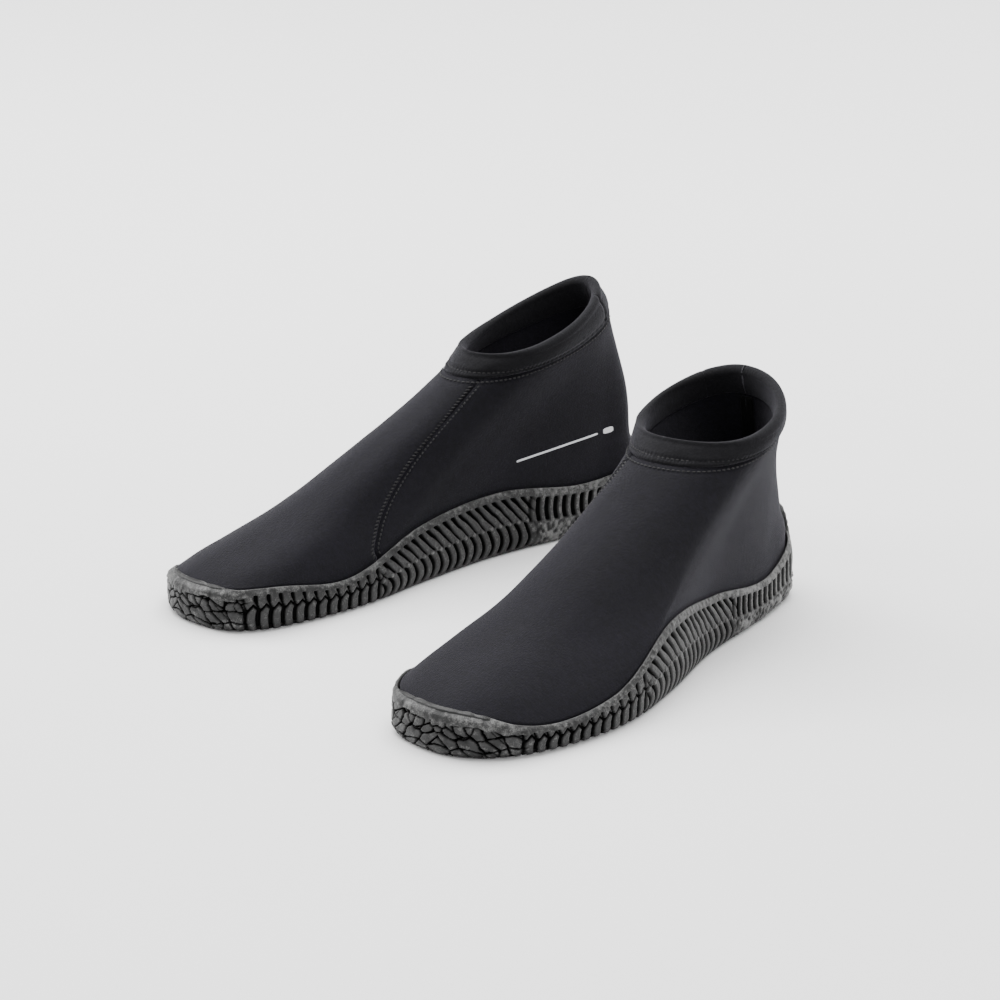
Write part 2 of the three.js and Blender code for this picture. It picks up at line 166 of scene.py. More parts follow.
def upper_at(u, r, stance):
    """Outer surface of the neoprene upper."""
    u, r = np.broadcast_arrays(np.asarray(u, float), np.asarray(r, float))
    foot = outline_at(u, UPPER_INSET, rand_top(u))
    low_z = foot[..., 2] + (PLATE_TOP + GAP - foot[..., 2]) * np.clip(-r, 0, 1)
    up = np.clip(r, 0, 1.2)
    along = np.clip((BACK_Y[0] - foot[..., 1]) / (BACK_Y[0] - FRONT_Y[0]), 0, 1)
    across = np.sign(0.5 - u % 1.0) * 2 * np.sqrt(along * (1 - along))
    wave = np.sin(math.pi * up)
    pull = up ** 2
    back_y = curve_at(PROFILE_KNOTS, BACK_Y, up) + stance["back"][0] * pull + stance["heel"] * wave
    back_z = curve_at(PROFILE_KNOTS, BACK_Z, up) + stance["back"][1] * pull
    front_y = curve_at(PROFILE_KNOTS, FRONT_Y, up) + stance["front"][0] * pull
    front_y = front_y + stance["instep"] * wave
    front_z = curve_at(PROFILE_KNOTS, FRONT_Z, up) + stance["front"][1] * pull
    fullness = (SIDE_FULLNESS[0] * wave + SIDE_FULLNESS[1] * np.sin(2 * math.pi * up)
                + SIDE_FULLNESS[2] * wave * (1 - 2 * along))
    edge_rise = foot[..., 2] - (BACK_Z[0] + (FRONT_Z[0] - BACK_Z[0]) * along)
    collar_x = np.where(across > 0, stance["inner"], stance["outer"]) * across
    x = foot[..., 0] + (collar_x - foot[..., 0]) * up + fullness * across
    y = back_y + (front_y - back_y) * along
    z = back_z + (front_z - back_z) * along + edge_rise * (1 - np.clip(up, 0, 1)) ** 2
    z = z - stance["sag"] * (across * up) ** 2
    low = r <= 0
    return np.stack([np.where(low, foot[..., 0], x), np.where(low, foot[..., 1], y),
                     np.where(low, low_z, z)], -1)


def upper_normal(u, r, stance):
    high = upper_at(u, np.minimum(np.asarray(r) + 0.02, 1), stance)
    low = upper_at(u, np.maximum(np.asarray(r) - 0.02, -1), stance)
    ahead = upper_at(np.asarray(u) + 0.006, r, stance)
    behind = upper_at(np.asarray(u) - 0.006, r, stance)
    normal = np.cross(high - low, ahead - behind)
    return normal / np.linalg.norm(normal, axis=-1, keepdims=True)


def off_upper(u, r, height, stance):
    """The upper's surface, moved outwards by height."""
    height = np.asarray(height, float)
    return upper_at(u, r, stance) + upper_normal(u, r, stance) * height[..., None]


def seam_u(r):
    """Where the slanting side seam runs at each height."""
    return SEAM_FOOT_U + (SEAM_TOP_U - SEAM_FOOT_U) * np.maximum(r, 0) / BINDING_FROM


def lattice(seed, size=64):
    return np.random.default_rng(seed).random((size, size))


def soft_noise(x, y, seed, size=64):
    """Smooth value noise in -1..1, one cell per unit."""
    table = lattice(seed, size)
    xi, yi = np.floor(x).astype(int), np.floor(y).astype(int)
    fx, fy = smoothstep(0, 1, x - xi), smoothstep(0, 1, y - yi)
    a, b = table[xi % size, yi % size], table[(xi + 1) % size, yi % size]
    c, d = table[xi % size, (yi + 1) % size], table[(xi + 1) % size, (yi + 1) % size]
    return 2 * ((a + (b - a) * fx) * (1 - fy) + (c + (d - c) * fx) * fy) - 1


def crack_distance(x, y, seed, size=64):
    """Distance to the nearest border between scattered cells, in cells."""
    jitter_x, jitter_y = lattice(seed, size), lattice(seed + 1, size)
    xi, yi = np.floor(x).astype(int), np.floor(y).astype(int)
    near = np.full(np.shape(x), 9.0)
    second = near.copy()
    for ox in (-1, 0, 1):
        for oy in (-1, 0, 1):
            cx, cy = xi + ox, yi + oy
            px = cx + 0.15 + 0.7 * jitter_x[cx % size, cy % size]
            py = cy + 0.15 + 0.7 * jitter_y[cx % size, cy % size]
            d = np.hypot(px - x, py - y)
            second = np.minimum(second, np.maximum(d, near))
            near = np.minimum(near, d)
    return second - near


# ---- mesh making -----------------------------------------------------------------------------
def grid_quads(columns, rows, wrap_columns=False, wrap_rows=False):
    """Quads of a grid whose vertex (i, j) is number i * rows + j."""
    i = np.arange(columns if wrap_columns else columns - 1)
    j = np.arange(rows if wrap_rows else rows - 1)
    i, j = np.meshgrid(i, j, indexing="ij")
    i2, j2 = (i + 1) % columns, (j + 1) % rows
    quads = np.stack([i * rows + j, i2 * rows + j, i2 * rows + j2, i * rows + j2], -1)
    return quads.reshape(-1, 4)


def ladder_caps(columns, rows):
    """Caps for the two end loops of a grid wrapped along its rows."""
    j = np.arange(rows // 2 - 1)
    start = np.stack([j, j + 1, rows - 2 - j, rows - 1 - j], -1)
    end = (columns - 1) * rows + start[:, ::-1]
    return np.concatenate([start, end])


def capped_quads(columns, rows):
    """Closed skin of a grid of loops: wrapped along its rows, capped at both ends."""
    return np.concatenate([grid_quads(columns, rows, wrap_rows=True), ladder_caps(columns, rows)])


def signed_volume(points, quads):
    """Six times the volume inside a closed mesh, below zero where it is inside out."""
    a, b, c, d = [points[quads[:, k]] for k in range(4)]
    return (np.einsum("ij,ij->i", a, np.cross(b, c)) + np.einsum("ij,ij->i", a, np.cross(c, d))).sum()


def place(side, points):
    """Right-foot millimetres to metres in the shared frame."""
    boot = BOOTS[side]
    points = points * [boot["mirror"], 1, 1]
    c, s = math.cos(boot["turn"]), math.sin(boot["turn"])
    x = points[:, 0] * c - points[:, 1] * s + boot["at"][0]
    y = points[:, 0] * s + points[:, 1] * c + boot["at"][1]
    return np.stack([x, y, points[:, 2]], -1) * MM


def finish_piece(side, mesh, name, material, nodes):
    """Shades a mesh smooth and makes it stand for CAD nodes of one boot."""
    mesh.materials.append(material)
    mesh.polygons.foreach_set("use_smooth", np.full(len(mesh.polygons), True))
    mesh.update()
    obj = bpy.data.objects.new(name, mesh)
    bpy.context.scene.collection.objects.link(obj)
    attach(obj, f"{side}_boot")
    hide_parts(*[f"{side}_{node}" for node in nodes])
    return obj


def add_piece(side, name, points, quads, material, nodes, uv=None, painted_shade_and_highlight=None):
    """A closed mesh of quads, with UVs and a value of painted shade and highlight per point where they
    are given.
    """
    points = np.asarray(points, float).reshape(-1, 3)
    inside_out = signed_volume(points, quads) < 0
    if inside_out != (BOOTS[side]["mirror"] < 0):
        quads = quads[:, ::-1]
    mesh = bpy.data.meshes.new(f"{side}_{name}")
    mesh.from_pydata(place(side, points).tolist(), [], quads.tolist())
    if uv is not None:
        layer = mesh.uv_layers.new(name="UVMap")
        corners = np.empty(len(mesh.loops), dtype=np.int32)
        mesh.loops.foreach_get("vertex_index", corners)
        layer.data.foreach_set("uv", np.asarray(uv, float).reshape(-1, 2)[corners].ravel())
    if painted_shade_and_highlight is not None:
        layer = mesh.attributes.new("painted_shade_and_highlight", "FLOAT", "POINT")
        layer.data.foreach_set("value", np.asarray(painted_shade_and_highlight, np.float32).ravel())
    return finish_piece(side, mesh, f"{side}_{name}", material, nodes)


def add_fan_piece(side, name, points, quads, fans, material, nodes):
    """As add_piece, for quads plus two rings of triangles round a middle point."""
    doubled = np.concatenate([fans, fans[:, 2:]], axis=1)
    inside_out = signed_volume(points, np.concatenate([quads, doubled])) < 0
    if inside_out != (BOOTS[side]["mirror"] < 0):
        quads, fans = quads[:, ::-1], fans[:, ::-1]
    mesh = bpy.data.meshes.new(f"{side}_{name}")
    mesh.from_pydata(place(side, points).tolist(), [], quads.tolist() + fans.tolist())
    return finish_piece(side, mesh, f"{side}_{name}", material, nodes)


def grid_uv(points):
    """UVs in metres on a grid of points: length around and length up."""
    around = np.linalg.norm(np.diff(points, axis=0), axis=-1).mean(axis=1)
    up = np.linalg.norm(np.diff(points, axis=1), axis=-1)
    u = np.concatenate([[0], np.cumsum(around)])[:, None] * np.ones(points.shape[1])
    v = np.concatenate([np.zeros((points.shape[0], 1)), np.cumsum(up, axis=1)], axis=1)
    return np.stack([u, v], -1) * MM


# ---- materials -------------------------------------------------------------------------------
class Nodes:
    """Short hand for building a node material."""

    def __init__(self, name):
        self.material = bpy.data.materials.new(name)
        self.material.use_nodes = True
        self.tree = self.material.node_tree
        self.shader = self.tree.nodes["Principled BSDF"]

    def add(self, kind, inputs=None, **settings):
        node = self.tree.nodes.new(kind)
        for key, value in settings.items():
            setattr(node, key, value)
        for key, value in (inputs or {}).items():
            if isinstance(value, bpy.types.NodeSocket):
                self.tree.links.new(value, node.inputs[key])
            else:
                node.inputs[key].default_value = value
        return node

    def math(self, operation, a, b=0.0, clamp=False):
        node = self.add("ShaderNodeMath", {0: a, 1: b}, operation=operation, use_clamp=clamp)
        return node.outputs[0]

    def ramp(self, factor, stops):
        node = self.add("ShaderNodeValToRGB", {"Fac": factor})
        elements = node.color_ramp.elements
        while len(elements) < len(stops):
            elements.new(0.5)
        for element, (position, color) in zip(elements, stops):
            element.position = position
            element.color = color if len(color) == 4 else (*color, 1)
        return node.outputs["Color"]

    def bump(self, height, strength, distance, before=None):
        inputs = {"Height": height, "Strength": strength, "Distance": distance}
        if before is not None:
            inputs["Normal"] = before
        return self.add("ShaderNodeBump", inputs).outputs["Normal"]

    def noise(self, vector, scale, detail=3.0, roughness=0.5):
        inputs = {"Vector": vector, "Scale": scale, "Detail": detail, "Roughness": roughness}
        return self.add("ShaderNodeTexNoise", inputs).outputs["Fac"]

    def link(self, socket, name):
        self.tree.links.new(socket, self.shader.inputs[name])

    def set(self, **values):
        for key, value in values.items():
            self.shader.inputs[key.replace("_", " ")].default_value = value


def knit(n, uv, wale, course):
    """Height of a plain jersey knit, with one wale and one course of the given widths in metres."""
    parts = n.add("ShaderNodeSeparateXYZ", {"Vector": uv})
    across = n.math("MULTIPLY", parts.outputs["X"], 2 * math.pi / wale)
    ribs = n.math("ABSOLUTE", n.math("SINE", across))
    half_wave = n.math("ABSOLUTE", n.math("SINE", n.math("MULTIPLY", across, 0.5)))
    climb = n.math("MULTIPLY", parts.outputs["Y"], 2 * math.pi / course)
    rows = n.math("SINE", n.math("ADD", climb, n.math("MULTIPLY", half_wave, 2.4)))
    return n.math("ADD", n.math("MULTIPLY", ribs, 0.6), n.math("MULTIPLY", rows, 0.4))


def neoprene_material(name, dark, light, wale, course, sheen):
    """Foam faced with a fine matte jersey, slightly blotched."""
    n = Nodes(name)
    coords = n.add("ShaderNodeTexCoord")
    cloud = n.noise(coords.outputs["Object"], 22.0, 4.0)
    grain = n.noise(coords.outputs["Object"], 900.0, 2.0, 0.7)
    fibres = n.noise(coords.outputs["Object"], 2600.0, 2.0, 0.6)
    loops = knit(n, coords.outputs["UV"], wale, course)
    blotch = n.noise(coords.outputs["Object"], 380.0, 3.0, 0.6)
    broad = n.math("ADD", n.math("MULTIPLY", cloud, 0.25), n.math("MULTIPLY", blotch, 0.3))
    tone = n.math("ADD", broad, n.math("MULTIPLY", grain, 0.45))
    color = n.ramp(tone, [(0.38, dark), (0.64, light)])
    n.link(color, "Base Color")
    n.link(n.ramp(grain, [(0.3, (0.78,) * 3), (0.75, (0.95,) * 3)]), "Roughness")
    soft = n.bump(fibres, 0.25, 0.0004)
    n.link(n.bump(loops, 0.35, 0.00035, n.bump(grain, 0.55, 0.0006, soft)), "Normal")
    n.set(Sheen_Weight=sheen, Sheen_Roughness=0.45, Sheen_Tint=(0.8, 0.78, 0.9, 1))
    n.set(Specular_IOR_Level=0.12)
    return n.material


def rubber_material(name, groove, body, scuffed_and_highlit):
    """Moulded rubber with random scuffs and pores; painted shade darkens its grooves and painted
    highlight makes it paler where the mesh's painted shade-and-highlight value is high.
    """
    n = Nodes(name)
    coords = n.add("ShaderNodeTexCoord")
    dust = n.noise(coords.outputs["Object"], 70.0, 5.0, 0.6)
    pores = n.noise(coords.outputs["Object"], 1500.0, 3.0, 0.7)
    scuffs = n.noise(coords.outputs["Object"], 420.0, 4.0, 0.65)
    painted_shade_and_highlight = n.add("ShaderNodeAttribute", attribute_name="painted_shade_and_highlight").outputs["Fac"]
    flecks = n.math("ADD", n.math("MULTIPLY", scuffs, 0.55), n.math("MULTIPLY", pores, 0.5))
    mottle = n.math("ADD", n.math("MULTIPLY", dust, 0.2), flecks)
    tone = n.math("ADD", n.math("SUBTRACT", painted_shade_and_highlight, 0.62), mottle)
    # Colour ramp: the darkest stop is painted shade in the grooves, the palest is painted highlight
    # mixed with random scuffs.
    n.link(n.ramp(tone, [(0.12, groove), (0.44, body), (0.58, body), (0.86, scuffed_and_highlit)]), "Base Color")
    n.link(n.ramp(scuffs, [(0.3, (0.36,) * 3), (0.75, (0.6,) * 3)]), "Roughness")
    n.link(n.bump(pores, 0.4, 0.0005, n.bump(scuffs, 0.45, 0.0009)), "Normal")
    # The same painted shade-and-highlight value also sets the specular level, low in the grooves.
    shine = n.ramp(painted_shade_and_highlight, [(0.12, (0.03,) * 3), (0.5, (0.4,) * 3), (1.0, (0.55,) * 3)])
    n.link(shine, "Specular IOR Level")
    return n.material


def thread_material():
    n = Nodes("thread")
    coords = n.add("ShaderNodeTexCoord")
    fuzz = n.noise(coords.outputs["Object"], 3200.0, 2.0, 0.7)
    n.link(n.ramp(fuzz, [(0.3, (0.002, 0.002, 0.0023)), (0.75, (0.009, 0.009, 0.0102))]), "Base Color")
    n.link(n.ramp(fuzz, [(0.3, (0.45,) * 3), (0.75, (0.7,) * 3)]), "Roughness")
    n.link(n.bump(fuzz, 0.5, 0.0003), "Normal")
    n.set(Sheen_Weight=0.08, Specular_IOR_Level=0.3)
    return n.material


def mark_material():
    n = Nodes("mark_print")
    coords = n.add("ShaderNodeTexCoord")
    grain = n.noise(coords.outputs["Object"], 1800.0, 3.0, 0.7)
    n.link(n.ramp(grain, [(0.3, (0.42, 0.42, 0.44)), (0.62, (0.72, 0.72, 0.74))]), "Base Color")
    n.link(n.ramp(grain, [(0.3, (0.35,) * 3), (0.75, (0.6,) * 3)]), "Roughness")
    n.link(n.bump(grain, 0.3, 0.0003), "Normal")
    return n.material


def floor_material():
    n = Nodes("floor")
    coords = n.add("ShaderNodeTexCoord")
    haze = n.noise(coords.outputs["Object"], 1.5, 2.0)
    n.link(n.ramp(haze, [(0.3, (0.9, 0.9, 0.9)), (0.7, (0.93, 0.93, 0.93))]), "Base Color")
    n.link(n.ramp(haze, [(0.3, (0.85,) * 3), (0.7, (0.9,) * 3)]), "Roughness")
    n.set(Specular_IOR_Level=0.1)
    return n.material


NEOPRENE_CLOTH = neoprene_material("neoprene", (0.0017, 0.0017, 0.0024), (0.0068, 0.0062, 0.0098),
                                   0.0011, 0.0009, 0.1)
BINDING_CLOTH = neoprene_material("binding", (0.0025, 0.0025, 0.003), (0.0075, 0.0074, 0.0086),
                                  0.0008, 0.0007, 0.12)
LINING_CLOTH = neoprene_material("lining", (0.0008,) * 3, (0.0022,) * 3, 0.0012, 0.001, 0.03)
# Rand colours: painted shade for the grooves, the rubber's body, and a pale painted highlight that
# also shows random scuffs.
RAND_RUBBER = rubber_material("rand_rubber", (0.0008,) * 3, (0.0085,) * 3, (0.15, 0.15, 0.147))
SOLE_RUBBER = rubber_material("outsole_rubber", (0.003,) * 3, (0.01,) * 3, (0.04,) * 3)
THREAD = thread_material()
MARK = mark_material()


# ---- rubber wall -----------------------------------------------------------------------------
RAND_COLUMNS = 1320
RAND_ROWS = 58
COLUMN_STEPS = 4001
TOE_DISTANCE_STEPS = 2001
TOE_BLOCK = 8.0
FOREFOOT_PITCH = 6.6
ARCH_PITCH = 6.2
HEEL_PITCH = 5.8
TOE_DEPTH = 1.9
FOREFOOT_DEPTH = 2.0
ARCH_DEPTH = 2.3
HEEL_DEPTH = 2.0
# Distances back from the toe tip over which each zone of the relief fades in.
FOREFOOT_ZONE = (38, 46)
ARCH_ZONE = (118, 130)
HEEL_ZONE = (226, 238)
# Distances back from the toe over which the painted heel highlight fades in.
HEEL_HIGHLIGHT_ZONE = (226, 250)
OVERLAP_END = (20, 42)
LIP_HEIGHT = 3.4
TOE_LIP_EXTRA = 2.0


def groove(distance, width, soft):
    """1 within a groove of this width, fading to 0 at its soft edges."""
    return 1 - smoothstep(width / 2 - soft, width / 2 + soft, np.abs(distance))


def off_pitch(x, pitch):
    """Signed distance from x to the nearest multiple of pitch."""
    return x - np.round(x / pitch) * pitch


def toe_relief(d, h):
    """Broken, irregular blocks."""
    bend = 1.3 * soft_noise(d / 5, h / 5, 11) + 0.3 * soft_noise(d / 1.5, h / 1.5, 12)
    cracks = crack_distance((d + bend + 0.6 * h) / TOE_BLOCK, (h - bend) / (TOE_BLOCK * 0.66), 3)
    splits = np.abs(soft_noise((d + h) / 9, (h - d) / 13, 13))
    hairlines = 0.5 * (1 - smoothstep(0.02, 0.07, splits))
    broken = np.maximum(1 - smoothstep(0.03, 0.15, cracks), hairlines)
    rough = 0.22 * soft_noise(d / 2.4, h / 2.4, 5) + 0.3 * soft_noise(d / 7, h / 5, 6)
    return -TOE_DEPTH * broken + rough


def forefoot_relief(d, h, top):
    """Upright lugs under a row of arrow heads."""
    t = h / top
    from_lug = np.abs(off_pitch(d, FOREFOOT_PITCH)) / (FOREFOOT_PITCH / 2)
    neck = 0.5 * top + 3.4 * (1 - from_lug)
    shift = 1.3 * np.sin(math.pi * np.clip(t / 0.6, 0, 1))
    lugs = groove(off_pitch(d + shift + FOREFOOT_PITCH / 2, FOREFOOT_PITCH), 2.1, 0.6) * (h < neck)
    over = np.clip((h - neck) / 3.0, 0, 1)
    heads = groove(off_pitch(d + FOREFOOT_PITCH / 2 + 2.0 * over, FOREFOOT_PITCH), 1.8, 0.6)
    heads = heads * (h >= neck) * (1 - smoothstep(0.84 * top, 0.9 * top, h))
    line = groove(h - neck, 1.2, 0.5)
    return -FOREFOOT_DEPTH * np.maximum(np.maximum(lugs, heads), line)


def arch_relief(d, h, top):
    """Curved ribs along the bottom and slanting leaves over them, with a stud where they meet."""
    t = np.clip((h - 0.04 * top) / (0.45 * top), 0, 1)
    wander = 0.5 * soft_noise(d / 5, h / 6, 31)
    low = groove(off_pitch(d - 2.4 * np.sin(math.pi * t) + 2.0 * t + wander, ARCH_PITCH), 1.9, 0.7)
    low = low * smoothstep(0, 0.08, t) * (1 - smoothstep(0.9, 1.0, t))
    t = np.clip((h - 0.48 * top) / (0.42 * top), 0, 1)
    slant = d + 0.9 * (h - 0.48 * top) + ARCH_PITCH / 2 + wander
    high = groove(off_pitch(slant, ARCH_PITCH), 0.8 + 2.3 * t ** 2, 0.6)
    high = high * smoothstep(0, 0.1, t) * (1 - smoothstep(0.9, 1.0, t))
    studs = groove(np.hypot(off_pitch(d, ARCH_PITCH), h - 0.49 * top), 2.2, 0.7)
    return -ARCH_DEPTH * np.maximum(low, high) * (1 - studs) + 0.6 * studs


def heel_relief(d, h, top):
    """Short upright slots over a rough band."""
    t = np.clip((h - 0.42 * top) / (0.46 * top), 0, 1)
    slots = groove(off_pitch(d + 1.4 * np.sin(math.pi * t), HEEL_PITCH), 2.6, 0.8)
    slots = slots * smoothstep(0, 0.12, t) * (1 - smoothstep(0.85, 1.0, t))
    rough = 0.7 * soft_noise(d / 1.7, h / 1.7, 21) + 0.4 * soft_noise(d / 3.4, h / 3.4, 22)
    return -HEEL_DEPTH * slots + rough * (1 - smoothstep(0.36 * top, 0.46 * top, h))


def rand_relief(d, h, top):
    """Height of the moulded pattern, from the distance back from the toe and the height."""
    to_forefoot = smoothstep(*FOREFOOT_ZONE, d)
    to_arch = smoothstep(*ARCH_ZONE, d)
    to_heel = smoothstep(*HEEL_ZONE, d)
    relief = toe_relief(d, h) * (1 - to_forefoot)
    relief = relief + forefoot_relief(d, h, top) * to_forefoot * (1 - to_arch)
    relief = relief + arch_relief(d, h, top) * to_arch * (1 - to_heel)
    relief = relief + heel_relief(d, h, top) * to_heel
    lip_height = LIP_HEIGHT + (TOE_LIP_EXTRA + 0.8 * soft_noise(d / 4, 0 * d, 62)) * (1 - to_forefoot)
    lip = smoothstep(top - lip_height, top - lip_height + 1.0, h)
    ragged = 0.3 * soft_noise(d / 1.8, h / 1.3, 61)
    ragged = ragged + 0.35 * soft_noise(d / 6, h / 4, 64) * (1 - to_forefoot)
    return relief * (1 - lip) + ragged * lip


def outline_length(steps):
    """Fine steps of u with the length along the outline at each."""
    fine = np.linspace(0, 1, steps)
    steps = np.linalg.norm(np.diff(outline_curve(fine), axis=0), axis=1)
    return fine, np.concatenate([[0], np.cumsum(steps)])


def distance_from_toe(u):
    """Length along the outline from the toe tip, made equal on both sides."""
    fine, length = outline_length(TOE_DISTANCE_STEPS)
    toe = np.interp(0.5, fine, length)
    here = np.interp(u, fine, length)
    share = np.where(here <= toe, (toe - here) / toe, (here - toe) / (length[-1] - toe))
    return share * (length[-1] / 2)


def rand_painted_light(relief, lip, d):
    """Painted shade in the grooves, painted highlight on the lip and the crests, and more so at the
    heel.
    """
    crests = np.clip(relief + 0.6, 0, 1) * (1 - lip)
    at_heel = smoothstep(*HEEL_HIGHLIGHT_ZONE, d)
    painted_shade_and_highlight = 0.5 + 0.4 * np.minimum(relief, 0) + 0.2 * np.maximum(relief, 0)
    return np.clip(painted_shade_and_highlight + 0.1 * (lip + crests + at_heel), 0, 1)


def make_rand(side):
    fine, length = outline_length(COLUMN_STEPS)
    column_u = np.interp(np.arange(RAND_COLUMNS) / RAND_COLUMNS * length[-1], length, fine)
    share = np.linspace(0, 1, RAND_ROWS)
    u, share = np.meshgrid(column_u, share, indexing="ij")
    d = distance_from_toe(u)
    top = rand_top(u)
    h = RAND_BOTTOM + (top - RAND_BOTTOM) * share
    relief = rand_relief(d, h, top)
    over_toe = (1 - smoothstep(*OVERLAP_END, d)) * smoothstep(0.9, 1, share)
    roll = 1.3 + 0.4 * soft_noise(d / 5, 0 * h, 63)
    inset = curve_at([0, 0.1, 0.45, 0.8, 0.93, 1], [2.0, 0.7, 0.0, 0.3, 1.1, 2.2], share)
    outside = outline_at(u, inset - relief + over_toe * (1.6 + roll), h)
    outside[..., 2] += np.clip(-relief, 0, 2) * (1 - smoothstep(0, 3.5, h)) * 0.7
    outside[..., 2] += over_toe * (0.5 + 0.5 * roll)
    top = top[:, 0]
    inner_z = np.stack([top - 0.1, top - 1.2, (top + RAND_BOTTOM) / 2, RAND_BOTTOM + 0 * top], -1)
    inner_inset = np.array([3.0, RAND_THICKNESS, RAND_THICKNESS, RAND_THICKNESS])
    inside = outline_at(column_u[:, None] + 0 * inner_z, inner_inset, inner_z)
    loops = np.concatenate([outside, inside], axis=1)
    quads = grid_quads(RAND_COLUMNS, loops.shape[1], wrap_columns=True, wrap_rows=True)
    lip = smoothstep(top[:, None] - 3.2, top[:, None] - 1.8, h)
    # The inner wall gets one flat value, a little darker than the outside's body.
    painted_shade_and_highlight = np.concatenate([rand_painted_light(relief, lip, d), 0 * inner_z + 0.4], axis=1)
    return add_piece(side, "rand_moulding", loops, quads, RAND_RUBBER, ["rand"], painted_shade_and_highlight=painted_shade_and_highlight)


STOP_HALF_SPAN = 0.05
STOP_ROOT = 3.0
STOP_HEIGHT = 9.4
STOP_LEAN = 2.3
STOP_RIB_PITCH = 2.1


def make_heel_strap_stop(side):
    """Crescent lip that grows out of the rubber wall behind the heel, ribbed on its outside."""
    columns, half = 120, 15
    share = np.linspace(-1, 1, columns)
    u = share * STOP_HALF_SPAN
    tip = STOP_HEIGHT * (1 - share ** 2) ** 1.3 - 0.8
    lift = np.concatenate([np.linspace(0, 1, half), np.linspace(1, 0, half)])
    outer = np.repeat([-1.0, 1.0], half)
    above = -STOP_ROOT + (tip + STOP_ROOT)[:, None] * lift[None, :]
    thick = (0.95 - 0.3 * lift) * np.sqrt(np.clip(1.02 - lift ** 8, 0, 1))
    lean = STOP_LEAN * np.clip(above / 9, 0, 1) ** 1.2
    ribs = 0.22 * np.sin(above * 2 * math.pi / STOP_RIB_PITCH) * (outer < 0) * (above > 0)
    z = rand_top(u)[:, None] + above
    loops = outline_at(u[:, None] + 0 * z, 1.8 - lean + (outer * thick)[None, :] - ribs, z)
    quads = capped_quads(columns, 2 * half)
    # Its painted value is a little paler than the body, with painted highlight on the rib crests and
    # painted shade between them.
    return add_piece(side, "heel_strap_lip", loops, quads, RAND_RUBBER, ["heel_strap_stop"],
                     painted_shade_and_highlight=0.62 + ribs)


# ---- soles -----------------------------------------------------------------------------------
DEEP_INSIDE = 40.0
TREAD_PITCH = 13.0
TREAD_SLOPE = 0.45
EDGE_SLOT_PITCH = 6.4
EDGE_SLOT_DEPTH = 1.4


def sole_slab(side, name, nodes, inset, low_at, high_at, material, around=420, rings=64):
    """Slab inside the sole outline; low_at and high_at give its faces from x, y and edge distance."""
    u = np.arange(around) / around
    share = np.linspace(0, 1, rings + 1)[1:]
    edge = outline_at(u, inset, 0.0)
    xy = edge[:, None, :2] * share[None, :, None]
    gap = (1 - share[None, :]) * np.linalg.norm(edge[:, None, :2], axis=-1)
    high = np.concatenate([xy, high_at(xy[..., 0], xy[..., 1], gap)[..., None]], -1)
    low = np.concatenate([xy, low_at(xy[..., 0], xy[..., 1], gap)[..., None]], -1)
    loops = np.concatenate([high, low[:, ::-1]], axis=1)
    rows = loops.shape[1]
    points = loops.reshape(-1, 3)
    zero = np.zeros(1)
    middle_z = [float(face(zero, zero, zero + DEEP_INSIDE)[0]) for face in (high_at, low_at)]
    first = np.arange(around) * rows
    ahead = np.roll(first, -1)
    top, bottom = np.full(around, len(points)), np.full(around, len(points) + 1)
    fans = np.concatenate([np.stack([ahead, first, top], -1),
                           np.stack([first + rows - 1, ahead + rows - 1, bottom], -1)])
    points = np.concatenate([points, [[0, 0, z] for z in middle_z]])
    quads = grid_quads(around, rows, wrap_columns=True)
    return add_fan_piece(side, name, points, quads, fans, material, nodes)


def make_outsole(side):
    def tread(x, y, gap):
        chevron = off_pitch(y + TREAD_SLOPE * np.abs(x), TREAD_PITCH)
        bars = smoothstep(1.6, 2.6, np.abs(chevron))
        middle = smoothstep(1.0, 1.9, np.abs(x + 6 * np.sin(y / 60)))
        rim = 1 - smoothstep(6.5, 7.6, gap)
        gutter = smoothstep(8.6, 9.4, gap) + rim
        lug = np.clip(np.maximum(bars * middle * np.clip(gutter, 0, 1), rim), 0, 1)
        edge_slots = groove(off_pitch(y, EDGE_SLOT_PITCH), 1.3, 0.4) * (1 - smoothstep(3.5, 5, gap))
        return LUG_DEPTH * (1 - lug) + EDGE_SLOT_DEPTH * edge_slots * lug

    def plate(x, y, gap):
        return PLATE_TOP + 0 * x

    return sole_slab(side, "tread_plate", ["outsole"], PLATE_INSET, tread, plate,
                     SOLE_RUBBER, 620, 120)


def make_bottom_sock(side):
    low = PLATE_TOP + GAP
    return sole_slab(side, "sock_sheet", ["bottom_sock"], UPPER_INSET + NEOPRENE + GAP,
                     lambda x, y, gap: low + 0 * x, lambda x, y, gap: low + SOCK_THICKNESS + 0 * x,
                     LINING_CLOTH, 160, 20)


def make_footbed(side):
    low = PLATE_TOP + 2 * GAP + SOCK_THICKNESS

    def face(x, y, gap):
        roll = 1 - smoothstep(0, 2.2, gap)
        dish = 0.5 * smoothstep(0, 16, gap)
        return low + FOOTBED_THICKNESS - 1.3 * roll ** 2 - dish + 0.12 * soft_noise(x / 9, y / 9, 31)

    return sole_slab(side, "footbed_pad", ["footbed"], FOOTBED_INSET,
                     lambda x, y, gap: low + 0 * x, face, LINING_CLOTH, 260, 40)


# ---- neoprene panels -------------------------------------------------------------------------
PANEL_SKIRT_ROWS = 8
PANEL_ROWS = 84
PANEL_TOP = 0.896
SEAM_HALF_GAP = 0.03
SEAM_DIP = 1.0
SEAM_DIP_WIDTH = 2.4
SEAM_STITCH_FROM_EDGE = 2.2
STITCH_DIP = 0.35
UPPER_STITCH_R = 0.913
LOWER_STITCH_R = 0.876
BAND_FOOT = 0.893
BAND_JOIN_U = 0.895
BAND_PUCKERS = 108


